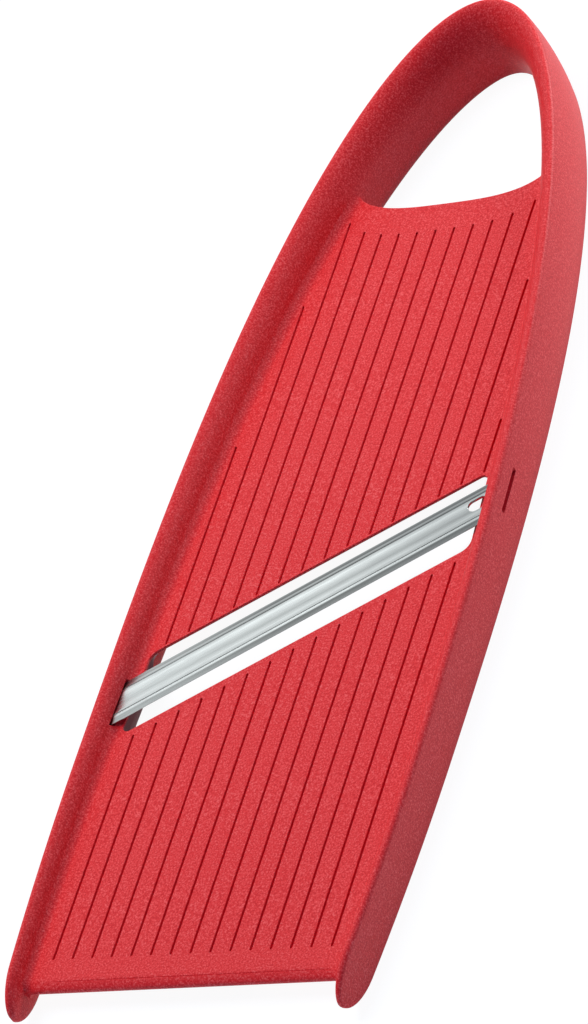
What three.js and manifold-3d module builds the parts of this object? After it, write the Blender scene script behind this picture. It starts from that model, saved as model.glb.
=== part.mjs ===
// Hand-held vegetable slicer: a one-piece moulded body and a loose double-edged steel blade.
// Millimetres. Both pieces are drawn in the frame of the cutting bed: its top is z = 0, x runs
// across it and y runs from the rail tips to the end of the handle loop. The last step tilts
// and lifts them, so that the rails stand flat on z = 0.
import * as THREE from 'three';
import { mergeVertices } from 'three/addons/utils/BufferGeometryUtils.js';
import Module from 'manifold-3d';

const wasm = await Module();
wasm.setup();

// Plan of the body
const LENGTH = 330.8;
const HALF_WIDTH = 52.05;
const TIP_HALF_WIDTH = 48.85;
const WIDEST_Y = 79.6;
const TAPER_POWER = 2.575;

// Side view: how far the rails rise above and drop below the bed's top
const TIP_RISE = 5.2;
const LOOP_RISE = 12.2;
const RIDGE_SAG = 1.4;
const TIP_DROP = 7.8;
const LOOP_DROP = 12.7;
const NOSE_LENGTH = 12.5;
const NOSE_BLUNTNESS = 0.12;

// Section of the rails and of the loop that joins them
const TIP_WALL = 2.6;
const LOOP_WALL = 7.4;
const SWELL_POWER = 0.6;
const UPPER_POWER = 1.8;
const LOWER_POWER = 2.5;
const OUTER_BOW = 0.8;
const CROWN_WIDTH = 1.5;
const CROWN_DROP = 1.6;
const TIP_FOOT = 1.2;
const LOOP_FOOT = 5.4;
const FOOT_RADIUS = 0.7;

// Cutting bed
const BED_THICKNESS = 2.8;
const BED_FRONT_Y = 8;
const BED_ROLL_LENGTH = 3.4;
const BED_ROLL_DROP = 1.6;
const TIP_FILLET = 1.6;
const LOOP_FILLET = 3;

// Near end of the handle opening
const OPENING_Y = 265;
const OPENING_OVERLAP = 1.2;
const OPENING_BOW = 22;
const OPENING_POWER = 3.2;

// Grooves of the bed
const GROOVE_PITCH = 5.8;
const GROOVE_WIDTH = 0.6;
const GROOVE_DEPTH = 0.8;
const GROOVE_START_Y = 16.8;
const GROOVE_OPENING_MARGIN = 9.6;
const GROOVE_NEAR_MARGIN = 2.3;
const GROOVE_FAR_MARGIN = 0.6;
const GROOVE_SIDE_MARGIN = 0.1;

// Slanted gap that the slices fall through
const GAP_ANGLE = THREE.MathUtils.degToRad(31);
const GAP_CENTRE_Y = 127.35;
const GAP_WIDTH = 22.2;
const LEFT_LEDGE = 2.6;
const RIGHT_LEDGE = 2.2;
const GAP_CORNER_RADIUS = 1.5;
const GAP_LARGE_RADIUS = 4.5;
const GAP_LAND = 0.8;
const GAP_BEVEL = THREE.MathUtils.degToRad(52);
const GAP_BEVEL_INSET = 2.2;

// Blade
const BLADE_ANGLE = THREE.MathUtils.degToRad(31.5);
const BLADE_CENTRE_Y = 125.9;
const BLADE_WIDTH = 11.9;
const BLADE_THICKNESS = 0.8;
const BLADE_LIFT = 1.5;
const BLADE_EDGE = 0.16;
const BLADE_BAND = 5.6;
const BLADE_HOLLOW = 0.12;
const BLADE_SHOULDER = 0.5;
const BLADE_CHANNEL = 0.5;
const BLADE_CHANNEL_DEPTH = 0.14;
const BLADE_HOLE_WIDTH = 3.6;
const BLADE_HOLE_LENGTH = 6;
const BLADE_HOLE_INSET = 4;
const BLADE_HOLE_OFFSET = 0.8;
const POCKET_SKIN = 1.8;
const BLADE_RECESS = 1.2;
const CLEARANCE = 0.3;

// How far a fillet sinks into its wall, and a cutter reaches past the faces it cuts
const FUSE = 0.1;
const OVERSHOOT = 5;

const QUARTER = Math.PI / 2;
const GAP_LINE = { centre: GAP_CENTRE_Y, angle: GAP_ANGLE };
const BLADE_LINE = { centre: BLADE_CENTRE_Y, angle: BLADE_ANGLE };

function steps(count, from, to) {
  return Array.from({ length: count + 1 }, (_, i) => from + ((to - from) * i) / count);
}

// Plan and side view of the rails

function halfWidth(y) {
  if (y < WIDEST_Y) {
    const reach = (WIDEST_Y - y) / WIDEST_Y;
    return HALF_WIDTH - (HALF_WIDTH - TIP_HALF_WIDTH) * reach ** 2;
  }
  const reach = Math.min((y - WIDEST_Y) / (LENGTH - WIDEST_Y), 1);
  return HALF_WIDTH * Math.sqrt(1 - reach ** TAPER_POWER);
}

function railTop(y) {
  const along = y / LENGTH;
  return TIP_RISE + (LOOP_RISE - TIP_RISE) * along - 4 * RIDGE_SAG * along * (1 - along);
}

function railBottom(y) {
  return -(TIP_DROP + ((LOOP_DROP - TIP_DROP) * y) / LENGTH);
}

// Thicknesses that swell from the tips to the loop
function swell(y, atTip, atLoop) {
  return atTip + (atLoop - atTip) * (y / LENGTH) ** SWELL_POWER;
}

function wall(y) {
  return swell(y, TIP_WALL, LOOP_WALL);
}

// Distance from the outer face to the oval inner face at height z
function wallDepth(y, z) {
  const edge = z > 0 ? CROWN_WIDTH : swell(y, TIP_FOOT, LOOP_FOOT);
  const limit = z > 0 ? railTop(y) : railBottom(y);
  const power = z > 0 ? UPPER_POWER : LOWER_POWER;
  const fall = Math.max(1 - (z / limit) ** power, 0);
  return edge + (wall(y) - edge) * fall ** (1 / power);
}

// Half widths between the rails, and of the flat bed between its fillets
function innerWidth(y) {
  return halfWidth(y) - wall(y);
}

function bedFillet(y) {
  return swell(y, TIP_FILLET, LOOP_FILLET);
}

function bedHalfWidth(y) {
  return innerWidth(y) - bedFillet(y);
}

// Solids

function toManifold(geometry) {
  geometry.deleteAttribute('normal');
  geometry.deleteAttribute('uv');
  const merged = mergeVertices(geometry, 1e-4);
  const vertProperties = new Float32Array(merged.attributes.position.array);
  const triVerts = new Uint32Array(merged.index.array);
  return new wasm.Manifold(new wasm.Mesh({ numProp: 3, vertProperties, triVerts }));
}

function toGeometry(solid) {
  const { vertProperties, triVerts } = solid.getMesh();
  const geometry = new THREE.BufferGeometry();
  geometry.setAttribute('position', new THREE.BufferAttribute(vertProperties, 3));
  geometry.setIndex(new THREE.BufferAttribute(triVerts, 1));
  geometry.computeVertexNormals();
  return geometry;
}

// Closed skin over rings of points; capFaces lists the triangles of a ring's flat end
function loft(rings, capFaces) {
  const size = rings[0].length;
  const position = rings.flat().flatMap((point) => point.toArray());
  const index = [];
  for (let row = 0; row + 1 < rings.length; row += 1) {
    for (let i = 0; i < size; i += 1) {
      const a = row * size + i;
      const b = row * size + ((i + 1) % size);
      index.push(a, b, b + size, a, b + size, a + size);
    }
  }
  const last = (rings.length - 1) * size;
  for (const [a, b, c] of capFaces) {
    index.push(c, b, a, last + a, last + b, last + c);
  }
  const geometry = new THREE.BufferGeometry();
  geometry.setAttribute('position', new THREE.Float32BufferAttribute(position, 3));
  geometry.setIndex(index);
  return toManifold(geometry);
}

// Triangles that fill an outline, in the outline's own direction
function capOf(outline) {
  const faces = THREE.ShapeUtils.triangulateShape(outline, []);
  return THREE.ShapeUtils.isClockWise(outline) ? faces.map(([a, b, c]) => [a, c, b]) : faces;
}

// Upright prism of a plan outline from z = low to z = high
function prism(shape, low, high, curveSegments = 6) {
  const geometry = new THREE.ExtrudeGeometry(shape, {
    depth: high - low,
    bevelEnabled: false,
    curveSegments,
  });
  geometry.translate(0, 0, low);
  return toManifold(geometry);
}

// Section of the rail as [distance from the outer face, height], anticlockwise seen from the tips
function railSection(y) {
  const top = railTop(y);
  const bottom = railBottom(y);
  const points = [];
  for (const angle of steps(3, 0, QUARTER)) {
    const x = FOOT_RADIUS * (1 - Math.cos(angle));
    points.push(new THREE.Vector2(x, bottom + FOOT_RADIUS * (1 - Math.sin(angle))));
  }
  for (const angle of steps(7, -QUARTER, 0)) {
    const z = -bottom * Math.sin(angle);
    points.push(new THREE.Vector2(wallDepth(y, z), z));
  }
  for (const angle of steps(8, 0, QUARTER).slice(1)) {
    const z = top * Math.sin(angle);
    points.push(new THREE.Vector2(wallDepth(y, z), z));
  }
  for (const angle of steps(6, QUARTER, 0).slice(1)) {
    const x = CROWN_WIDTH * (1 - Math.cos(angle));
    points.push(new THREE.Vector2(x, top - CROWN_DROP * (1 - Math.sin(angle))));
  }
  const bow = OUTER_BOW * THREE.MathUtils.smoothstep(y, 0, LENGTH);
  for (const share of steps(4, 0, 1).slice(1, -1)) {
    const z = THREE.MathUtils.lerp(top - CROWN_DROP, bottom + FOOT_RADIUS, share);
    points.push(new THREE.Vector2(-4 * bow * share * (1 - share), z));
  }
  return points;
}

// Stations of the right rail from its tip to the end of the loop: place, inward normal, shrink
function railStations() {
  const stations = [];
  for (const angle of steps(7, NOSE_BLUNTNESS, QUARTER)) {
    stations.push({ y: NOSE_LENGTH * (1 - Math.cos(angle)), shrink: Math.sin(angle) });
  }
  for (const y of steps(5, NOSE_LENGTH, WIDEST_Y).slice(1)) {
    stations.push({ y, shrink: 1 });
  }
  for (const angle of steps(30, 0, QUARTER).slice(1)) {
    const reach = Math.sin(angle) ** (2 / TAPER_POWER);
    stations.push({ y: WIDEST_Y + (LENGTH - WIDEST_Y) * reach, shrink: 1 });
  }
  return stations.map((station) => ({ ...station, ...outlinePoint(station.y) }));
}

// Point of the outline and its inward normal
function outlinePoint(y) {
  const delta = 0.02;
  const low = Math.max(y - delta, 0);
  const high = Math.min(y + delta, LENGTH);
  const inward = new THREE.Vector2(low - high, halfWidth(high) - halfWidth(low)).normalize();
  if (y >= LENGTH) {
    inward.set(0, -1);
  }
  return { place: new THREE.Vector2(halfWidth(y), y), inward };
}

// Rails and loop: one section carried round the outline, with a rounded nose at each tip
function makeRails() {
  const half = railStations().map(({ y, shrink, place, inward }) => {
    const middle = new THREE.Vector2(wall(y) / 2, (railTop(y) + railBottom(y)) / 2);
    return railSection(y).map((point) => {
      const local = point.sub(middle);
      const x = middle.x + local.x * Math.sqrt(shrink);
      const along = place.y + inward.y * x;
      const z = middle.y + local.y * shrink + railBottom(along) - railBottom(y);
      return new THREE.Vector3(place.x + inward.x * x, along, z);
    });
  });
  const mirrored = half.slice(0, -1).reverse();
  const left = mirrored.map((ring) => ring.map((p) => new THREE.Vector3(-p.x, p.y, p.z)));
  return loft([...half, ...left], capOf(railSection(0)));
}

// Cross-section of the bed with its fillets, sunk into the rails at both sides
function bedRing(y, topCut, bottomCut) {
  const width = halfWidth(y);
  const anchor = width - wall(y) / 2;
  const fillet = bedFillet(y);
  const side = [];
  for (const angle of steps(5, 0, QUARTER)) {
    const z = fillet * (1 - Math.cos(angle));
    const x = width - wallDepth(y, z) + FUSE - fillet * (1 - Math.sin(angle));
    side.push([x, z - topCut]);
  }
  side.push([anchor, fillet - topCut]);
  const under = -BED_THICKNESS;
  side.push([anchor, under - fillet + bottomCut]);
  for (const angle of steps(5, QUARTER, 0)) {
    const z = under - fillet * (1 - Math.cos(angle));
    const x = width - wallDepth(y, z) + FUSE - fillet * (1 - Math.sin(angle));
    side.push([x, z + bottomCut]);
  }
  const right = side.map(([x, z]) => new THREE.Vector3(x, y, z));
  const left = side.map(([x, z]) => new THREE.Vector3(-x, y, z)).reverse();
  return [...right, ...left];
}

function makeBed() {
  const farY = OPENING_Y + OPENING_BOW;
  const underRoll = BED_THICKNESS - BED_ROLL_DROP - 2 * FUSE;
  const roll = steps(5, 0, QUARTER).map((angle) => {
    const y = BED_FRONT_Y + BED_ROLL_LENGTH * (1 - Math.cos(angle));
    const share = 1 - Math.sin(angle);
    return bedRing(y, BED_ROLL_DROP * share, underRoll * share ** 2);
  });
  const straight = steps(30, BED_FRONT_Y + BED_ROLL_LENGTH, farY).slice(1);
  const rings = [...roll, ...straight.map((y) => bedRing(y, 0, 0))];
  return loft(rings, capOf(rings[0].map((p) => new THREE.Vector2(p.x, p.z))));
}

// Bow of the bed's far edge, which is the near end of the handle opening
function openingReach() {
  return innerWidth(OPENING_Y) + OPENING_OVERLAP;
}

function openingEdge(x) {
  const reach = openingReach();
  const share = Math.min(Math.abs(x) / reach, 1);
  return OPENING_Y + OPENING_BOW * (1 - (1 - share ** OPENING_POWER) ** (1 / OPENING_POWER));
}

function makeOpeningCutter() {
  const reach = openingReach();
  const edge = steps(24, -QUARTER, QUARTER).map((angle) => {
    const x = reach * Math.sin(angle);
    return new THREE.Vector2(x, openingEdge(x));
  });
  const shape = new THREE.Shape(edge);
  shape.lineTo(HALF_WIDTH, LENGTH);
  shape.lineTo(-HALF_WIDTH, LENGTH);
  return prism(shape, -LOOP_DROP - OVERSHOOT, LOOP_RISE + OVERSHOOT);
}

// Slanted lines of the gap and of the blade: y at x, on a line at an offset from the middle one
function slantY(line, x, offset) {
  return line.centre + x * Math.tan(line.angle) + offset / Math.cos(line.angle);
}

// Slanted gap

// Corner of the gap: side is -1 or 1 across the bed, and the ends follow the rails' inner faces
function gapCorner(side, offset) {
  const ledge = side < 0 ? LEFT_LEDGE : RIGHT_LEDGE;
  const x = side * (innerWidth(slantY(GAP_LINE, side * HALF_WIDTH, offset)) - ledge);
  return [x, slantY(GAP_LINE, x, offset)];
}

// Closed outline with its corners rounded: corners are [x, y, radius]
function roundedShape(corners) {
  const shape = new THREE.Shape();
  corners.forEach(([x, y, radius], i) => {
    const here = new THREE.Vector2(x, y);
    const before = new THREE.Vector2(...corners.at(i - 1));
    const after = new THREE.Vector2(...corners[(i + 1) % corners.length]);
    const toBefore = before.sub(here).normalize();
    const toAfter = after.sub(here).normalize();
    const halfAngle = Math.acos(toBefore.dot(toAfter)) / 2;
    const setback = radius / Math.tan(halfAngle);
    const start = here.clone().addScaledVector(toBefore, setback);
    const end = here.clone().addScaledVector(toAfter, setback);
    const bisector = toBefore.add(toAfter).normalize();
    const centre = here.clone().addScaledVector(bisector, radius / Math.sin(halfAngle));
    const from = start.clone().sub(centre).angle();
    const to = end.clone().sub(centre).angle();
    shape.absarc(centre.x, centre.y, radius, from, to, false);
  });
  shape.closePath();
  return shape;
}

function makeGapCutter() {
  const half = GAP_WIDTH / 2;
  const nearLeft = [...gapCorner(-1, -half), GAP_CORNER_RADIUS];
  const nearRight = [...gapCorner(1, -half), GAP_LARGE_RADIUS];
  const farRight = [...gapCorner(1, half), GAP_CORNER_RADIUS];
  const farLeft = [...gapCorner(-1, half), GAP_LARGE_RADIUS];
  const outline = roundedShape([nearLeft, nearRight, farRight, farLeft]);
  const well = prism(outline, -BED_THICKNESS - OVERSHOOT, OVERSHOOT);
  return well.add(makeGapBevel(-1, nearLeft, nearRight)).add(makeGapBevel(1, farLeft, farRight));
}

// Undercut of one long edge of the gap, which leaves a thin land at the top
function makeGapBevel(side, leftCorner, rightCorner) {
  const left = leftCorner[0] + GAP_BEVEL_INSET;
  const right = rightCorner[0] - GAP_BEVEL_INSET;
  const depth = BED_THICKNESS - GAP_LAND + FUSE;
  const top = GAP_WIDTH / 2;
  const bottom = top + depth * Math.tan(GAP_BEVEL);
  const section = [[0, -depth], [bottom, -depth], [top, 0], [0, 0]];
  const turned = side > 0 ? section : section.map(([offset, z]) => [-offset, z]).reverse();
  const rings = [left, right].map((x) => turned.map(([offset, z]) => {
    return new THREE.Vector3(x, slantY(GAP_LINE, x, offset), z - GAP_LAND);
  }));
  return loft(rings, capOf(turned.map(([offset, z]) => new THREE.Vector2(offset, z))));
}

// Grooves: a run ends short of the gap, of the opening and of the fillets at the rails

function grooveEnd(x) {
  let y = openingEdge(x) - GROOVE_OPENING_MARGIN;
  while (y > WIDEST_Y && bedHalfWidth(y) < Math.abs(x) + GROOVE_SIDE_MARGIN) {
    y -= GROOVE_WIDTH;
  }
  return y;
}

function grooveRuns() {
  const reach = bedHalfWidth(GROOVE_START_Y) - GROOVE_SIDE_MARGIN;
  const count = Math.floor(reach / GROOVE_PITCH);
  const near = GAP_WIDTH / 2 + GROOVE_NEAR_MARGIN;
  const far = GAP_WIDTH / 2 + GROOVE_FAR_MARGIN;
  return steps(2 * count, -count, count).flatMap((i) => {
    const x = i * GROOVE_PITCH;
    const runs = [
      { x, from: GROOVE_START_Y, to: slantY(GAP_LINE, x, -near) },
      { x, from: slantY(GAP_LINE, x, far), to: grooveEnd(x) },
    ];
    return runs.filter(({ from, to }) => to > from + GROOVE_PITCH);
  });
}

function makeGroove({ x, from, to }) {
  const half = GROOVE_WIDTH / 2;
  const section = [[-half, 0], [0, -GROOVE_DEPTH], [half, 0], [half, half], [-half, half]];
  const rings = [to, from].map((y) => section.map(([dx, z]) => new THREE.Vector3(x + dx, y, z)));
  return loft(rings, capOf(section.map(([dx, z]) => new THREE.Vector2(dx, z))));
}

// Blade, and the seat that it slides into through the right rail

function bladeEnds() {
  const half = BLADE_WIDTH / 2;
  const sideAt = (x, offset) => halfWidth(slantY(BLADE_LINE, x, offset));
  const leftSides = [-half, half].map((offset) => sideAt(-HALF_WIDTH, offset));
  const rightSides = [-half, half].map((offset) => sideAt(HALF_WIDTH, offset));
  return {
    left: POCKET_SKIN + CLEARANCE - Math.min(...leftSides),
    right: Math.min(...rightSides) - BLADE_RECESS,
  };
}

// Bar along the slant between two stations in x, from a section of [offset, height]
function slantBar(section, left, right) {
  const rings = [left, right].map((x) => section.map(([offset, z]) => {
    return new THREE.Vector3(x, slantY(BLADE_LINE, x, offset), BLADE_LIFT + z);
  }));
  return loft(rings, capOf(section.map(([offset, z]) => new THREE.Vector2(offset, z))));
}

function makeSeatCutter() {
  const half = BLADE_WIDTH / 2 + CLEARANCE;
  const rise = BLADE_THICKNESS / 2 + CLEARANCE;
  const section = [[-half, -rise], [half, -rise], [half, rise], [-half, rise]];
  const pocketEnd = bladeEnds().left - CLEARANCE;
  return slantBar(section, pocketEnd, HALF_WIDTH + OVERSHOOT);
}

// Rolled strip: a hollow middle band, a fine channel each side of it and two ground edges
function bladeSection() {
  const band = BLADE_BAND / 2;
  const rise = BLADE_THICKNESS / 2;
  const shoulder = band + BLADE_SHOULDER;
  const side = [
    [BLADE_WIDTH / 2, BLADE_EDGE / 2],
    [shoulder + BLADE_CHANNEL, rise - BLADE_CHANNEL_DEPTH / 2],
    [shoulder + BLADE_CHANNEL / 2, rise - BLADE_CHANNEL_DEPTH],
    [shoulder, rise],
  ];
  const hollow = steps(4, 1, -1).map((share) => {
    return [band * share, rise - BLADE_HOLLOW * (1 - share ** 2)];
  });
  const top = [...side, ...hollow, ...side.map(([x, z]) => [-x, z]).reverse()];
  return [...top, ...top.map(([x, z]) => [x, -z]).reverse()];
}

function makeBlade() {
  const { left, right } = bladeEnds();
  const radius = BLADE_HOLE_WIDTH / 2;
  const hole = new THREE.Shape();
  const straight = BLADE_HOLE_LENGTH - BLADE_HOLE_WIDTH;
  hole.absarc(straight, 0, radius, -QUARTER, QUARTER, false);
  hole.absarc(0, 0, radius, QUARTER, 3 * QUARTER, false);
  const geometry = new THREE.ExtrudeGeometry(hole, { depth: 2 * OVERSHOOT, bevelEnabled: false });
  const x = right - (BLADE_HOLE_INSET + BLADE_HOLE_LENGTH - radius) * Math.cos(BLADE_ANGLE);
  geometry.rotateZ(BLADE_ANGLE);
  geometry.translate(x, slantY(BLADE_LINE, x, BLADE_HOLE_OFFSET), BLADE_LIFT - OVERSHOOT);
  return slantBar(bladeSection(), left, right).subtract(toManifold(geometry));
}

function makeBody() {
  const bed = makeBed().subtract(makeOpeningCutter()).subtract(makeGapCutter());
  const grooves = grooveRuns().map(makeGroove).reduce((all, groove) => all.add(groove));
  return makeRails().add(bed).subtract(makeSeatCutter()).subtract(grooves);
}

function namedMesh(name, solid, look) {
  const mesh = new THREE.Mesh(toGeometry(solid), new THREE.MeshStandardMaterial(look));
  mesh.name = name;
  return mesh;
}

// Assembly, turned so that the straight underside of the rails lies on z = 0
const tilt = Math.atan2(LOOP_DROP - TIP_DROP, LENGTH);
const slicer = new THREE.Group();
slicer.add(namedMesh('slicer_body', makeBody(), {
  color: 0xd6403f,
  roughness: 0.62,
  metalness: 0,
}));
slicer.add(namedMesh('blade', makeBlade(), {
  color: 0xc3c9c8,
  roughness: 0.28,
  metalness: 1,
}));
slicer.rotation.x = tilt;
const box = new THREE.Box3().setFromObject(slicer, true);
slicer.position.copy(box.getCenter(new THREE.Vector3()).setZ(box.min.z).negate());

const group = new THREE.Group();
group.add(slicer);
export default group;
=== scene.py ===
"""Dresses a hand-held vegetable slicer: a red moulded body and a rolled steel blade, on a pale floor.

Shapes are drawn in millimetres in the frame of the cutting bed: its top is z = 0, x runs across it and
y runs from the rail tips to the end of the handle loop. A placing then stands them on the rails' feet,
in metres, where the frame has them.
"""

import logging
import math
from dataclasses import dataclass, field
from enum import Enum
from typing import Any, Sequence, Union

import bmesh
import bpy
from mathutils import Matrix, Vector


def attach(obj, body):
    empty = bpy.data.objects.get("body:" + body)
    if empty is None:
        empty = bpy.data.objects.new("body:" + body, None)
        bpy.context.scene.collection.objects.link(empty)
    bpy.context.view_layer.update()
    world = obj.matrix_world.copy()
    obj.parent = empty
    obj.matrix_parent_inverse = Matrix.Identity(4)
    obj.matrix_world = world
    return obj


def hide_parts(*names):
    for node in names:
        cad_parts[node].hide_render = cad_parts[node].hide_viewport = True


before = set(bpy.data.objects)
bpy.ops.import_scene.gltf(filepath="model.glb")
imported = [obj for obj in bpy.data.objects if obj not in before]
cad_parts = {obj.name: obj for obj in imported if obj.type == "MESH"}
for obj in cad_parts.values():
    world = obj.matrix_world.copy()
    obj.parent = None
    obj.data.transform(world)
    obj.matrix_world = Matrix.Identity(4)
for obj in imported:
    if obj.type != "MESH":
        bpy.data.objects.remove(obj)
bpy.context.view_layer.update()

LOG = logging.getLogger("slicer")
MM = 0.001
QUARTER = math.pi / 2
REACH = 5.0
Section = list[Vector]
Colour = tuple[float, float, float]
Point = tuple[float, float, float]


class Side(Enum):
    """The two sides of the bed, as the sign of x."""

    LEFT = -1
    RIGHT = 1


class Merge(Enum):
    """How one solid acts on another."""

    JOIN = "UNION"
    CUT = "DIFFERENCE"


def steps(count: int, start: float, stop: float) -> list[float]:
    """Even steps from start to stop, both included.

    Args:
        count: number of intervals.
        start: first value.
        stop: last value.

    Returns:
        count + 1 values.
    """
    return [start + (stop - start) * i / count for i in range(count + 1)]


def smooth(share: float) -> float:
    """Smooth step of a share between 0 and 1."""
    share = min(max(share, 0.0), 1.0)
    return share * share * (3 - 2 * share)


def sweep(sections: Sequence[Section]) -> bmesh.types.BMesh:
    """Carries a closed ring of points through its sections and closes both ends.

    Args:
        sections: rings with the same number of points, in order.

    Returns:
        A closed mesh whose faces point outwards.
    """
    mesh = bmesh.new()
    ring = [mesh.verts.new(point) for point in sections[0]]
    edges = [mesh.edges.new(pair) for pair in zip(ring, ring[1:] + ring[:1])]
    bmesh.ops.contextual_create(mesh, geom=edges)
    for section in sections[1:]:
        made = bmesh.ops.extrude_edge_only(mesh, edges=edges)["geom"]
        fresh = {item for item in made if isinstance(item, bmesh.types.BMVert)}
        ring = [next(e.other_vert(v) for e in v.link_edges if e.other_vert(v) in fresh) for v in ring]
        for vertex, point in zip(ring, section):
            vertex.co = point
        edges = [mesh.edges.get(pair) for pair in zip(ring, ring[1:] + ring[:1])]
    bmesh.ops.contextual_create(mesh, geom=edges)
    bmesh.ops.recalc_face_normals(mesh, faces=mesh.faces)
    return mesh


def to_object(name: str, mesh: bmesh.types.BMesh) -> bpy.types.Object:
    """Turns a bmesh into an object of the scene.

    Args:
        name: name of the object.
        mesh: its shape, which is freed.

    Returns:
        The new object.
    """
    data = bpy.data.meshes.new(name)
    mesh.to_mesh(data)
    mesh.free()
    made = bpy.data.objects.new(name, data)
    bpy.context.scene.collection.objects.link(made)
    return made


def combine(target: bpy.types.Object, tool: bpy.types.Object, how: Merge) -> None:
    """Joins a tool to a solid, or cuts the solid with it, and removes the tool.

    Args:
        target: solid that is kept.
        tool: solid that acts on it.
        how: join or cut.
    """
    modifier = target.modifiers.new(how.name, "BOOLEAN")
    modifier.operation = how.value
    modifier.solver = "EXACT"
    modifier.object = tool
    bpy.context.view_layer.update()
    evaluated = target.evaluated_get(bpy.context.evaluated_depsgraph_get())
    result = bpy.data.meshes.new_from_object(evaluated)
    target.modifiers.clear()
    spent = [target.data, tool.data]
    target.data = result
    bpy.data.objects.remove(tool)
    for data in spent:
        bpy.data.meshes.remove(data)


def offset_ring(ring: Section, distances: Sequence[float], z: float) -> Section:
    """Moves a plan outline outwards, point by point, and sets its height.

    Args:
        ring: anticlockwise outline.
        distances: how far each point moves along its own normal.
        z: height of the new ring.

    Returns:
        The moved outline.
    """
    moved = []
    for i, (point, distance) in enumerate(zip(ring, distances)):
        along = (ring[(i + 1) % len(ring)] - ring[i - 1]).normalized()
        moved.append(Vector((point.x + along.y * distance, point.y - along.x * distance, z)))
    return moved


@dataclass(frozen=True)
class Outline:
    """Plan, side view and wall thickness of the moulding."""

    length: float = 330.8
    half_width: float = 52.05
    tip_half_width: float = 48.85
    widest_y: float = 79.6
    taper_power: float = 2.575
    tip_rise: float = 5.2
    loop_rise: float = 12.2
    ridge_sag: float = 1.4
    tip_drop: float = 7.8
    loop_drop: float = 12.7
    tip_wall: float = 2.6
    loop_wall: float = 7.4
    swell_power: float = 0.6
    upper_power: float = 1.8
    lower_power: float = 2.5
    crown_width: float = 1.25
    tip_foot: float = 1.2
    loop_foot: float = 5.4
    tip_fillet: float = 1.6
    loop_fillet: float = 3.0

    def half(self, y: float) -> float:
        """Half width of the plan at y.

        Args:
            y: station along the slicer.

        Returns:
            The half width.
        """
        if y < self.widest_y:
            reach = (self.widest_y - y) / self.widest_y
            return self.half_width - (self.half_width - self.tip_half_width) * reach**2
        reach = min((y - self.widest_y) / (self.length - self.widest_y), 1.0)
        return self.half_width * math.sqrt(1 - reach**self.taper_power)

    def top(self, y: float) -> float:
        """Height of the rails' crown above the bed.

        Args:
            y: station along the slicer.

        Returns:
            The height.
        """
        along = y / self.length
        sag = 4 * self.ridge_sag * along * (1 - along)
        return self.tip_rise + (self.loop_rise - self.tip_rise) * along - sag

    def bottom(self, y: float) -> float:
        """Height of the rails' foot, below the bed's top."""
        return -(self.tip_drop + (self.loop_drop - self.tip_drop) * y / self.length)

    def swell(self, y: float, at_tip: float, at_loop: float) -> float:
        """Thickness that swells from the tips to the loop."""
        return at_tip + (at_loop - at_tip) * (max(y, 0.0) / self.length) ** self.swell_power

    def wall(self, y: float) -> float:
        """Wall thickness at the bed's top."""
        return self.swell(y, self.tip_wall, self.loop_wall)

    def wall_depth(self, y: float, z: float) -> float:
        """Distance from the outer face to the oval inner face at height z.

        Args:
            y: station along the slicer.
            z: height above the bed's top.

        Returns:
            The distance.
        """
        edge = self.crown_width if z > 0 else self.swell(y, self.tip_foot, self.loop_foot)
        limit = self.top(y) if z > 0 else self.bottom(y)
        power = self.upper_power if z > 0 else self.lower_power
        fall = max(1 - (z / limit) ** power, 0.0)
        return edge + (self.wall(y) - edge) * fall ** (1 / power)

    def fillet(self, y: float) -> float:
        """Radius of the fillet between the bed and the rails."""
        return self.swell(y, self.tip_fillet, self.loop_fillet)

    def inner(self, y: float) -> float:
        """Half width between the rails."""
        return self.half(y) - self.wall(y)

    def tilt(self) -> float:
        """Angle that brings the rails' straight feet level."""
        return math.atan2(self.loop_drop - self.tip_drop, self.length)


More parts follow.
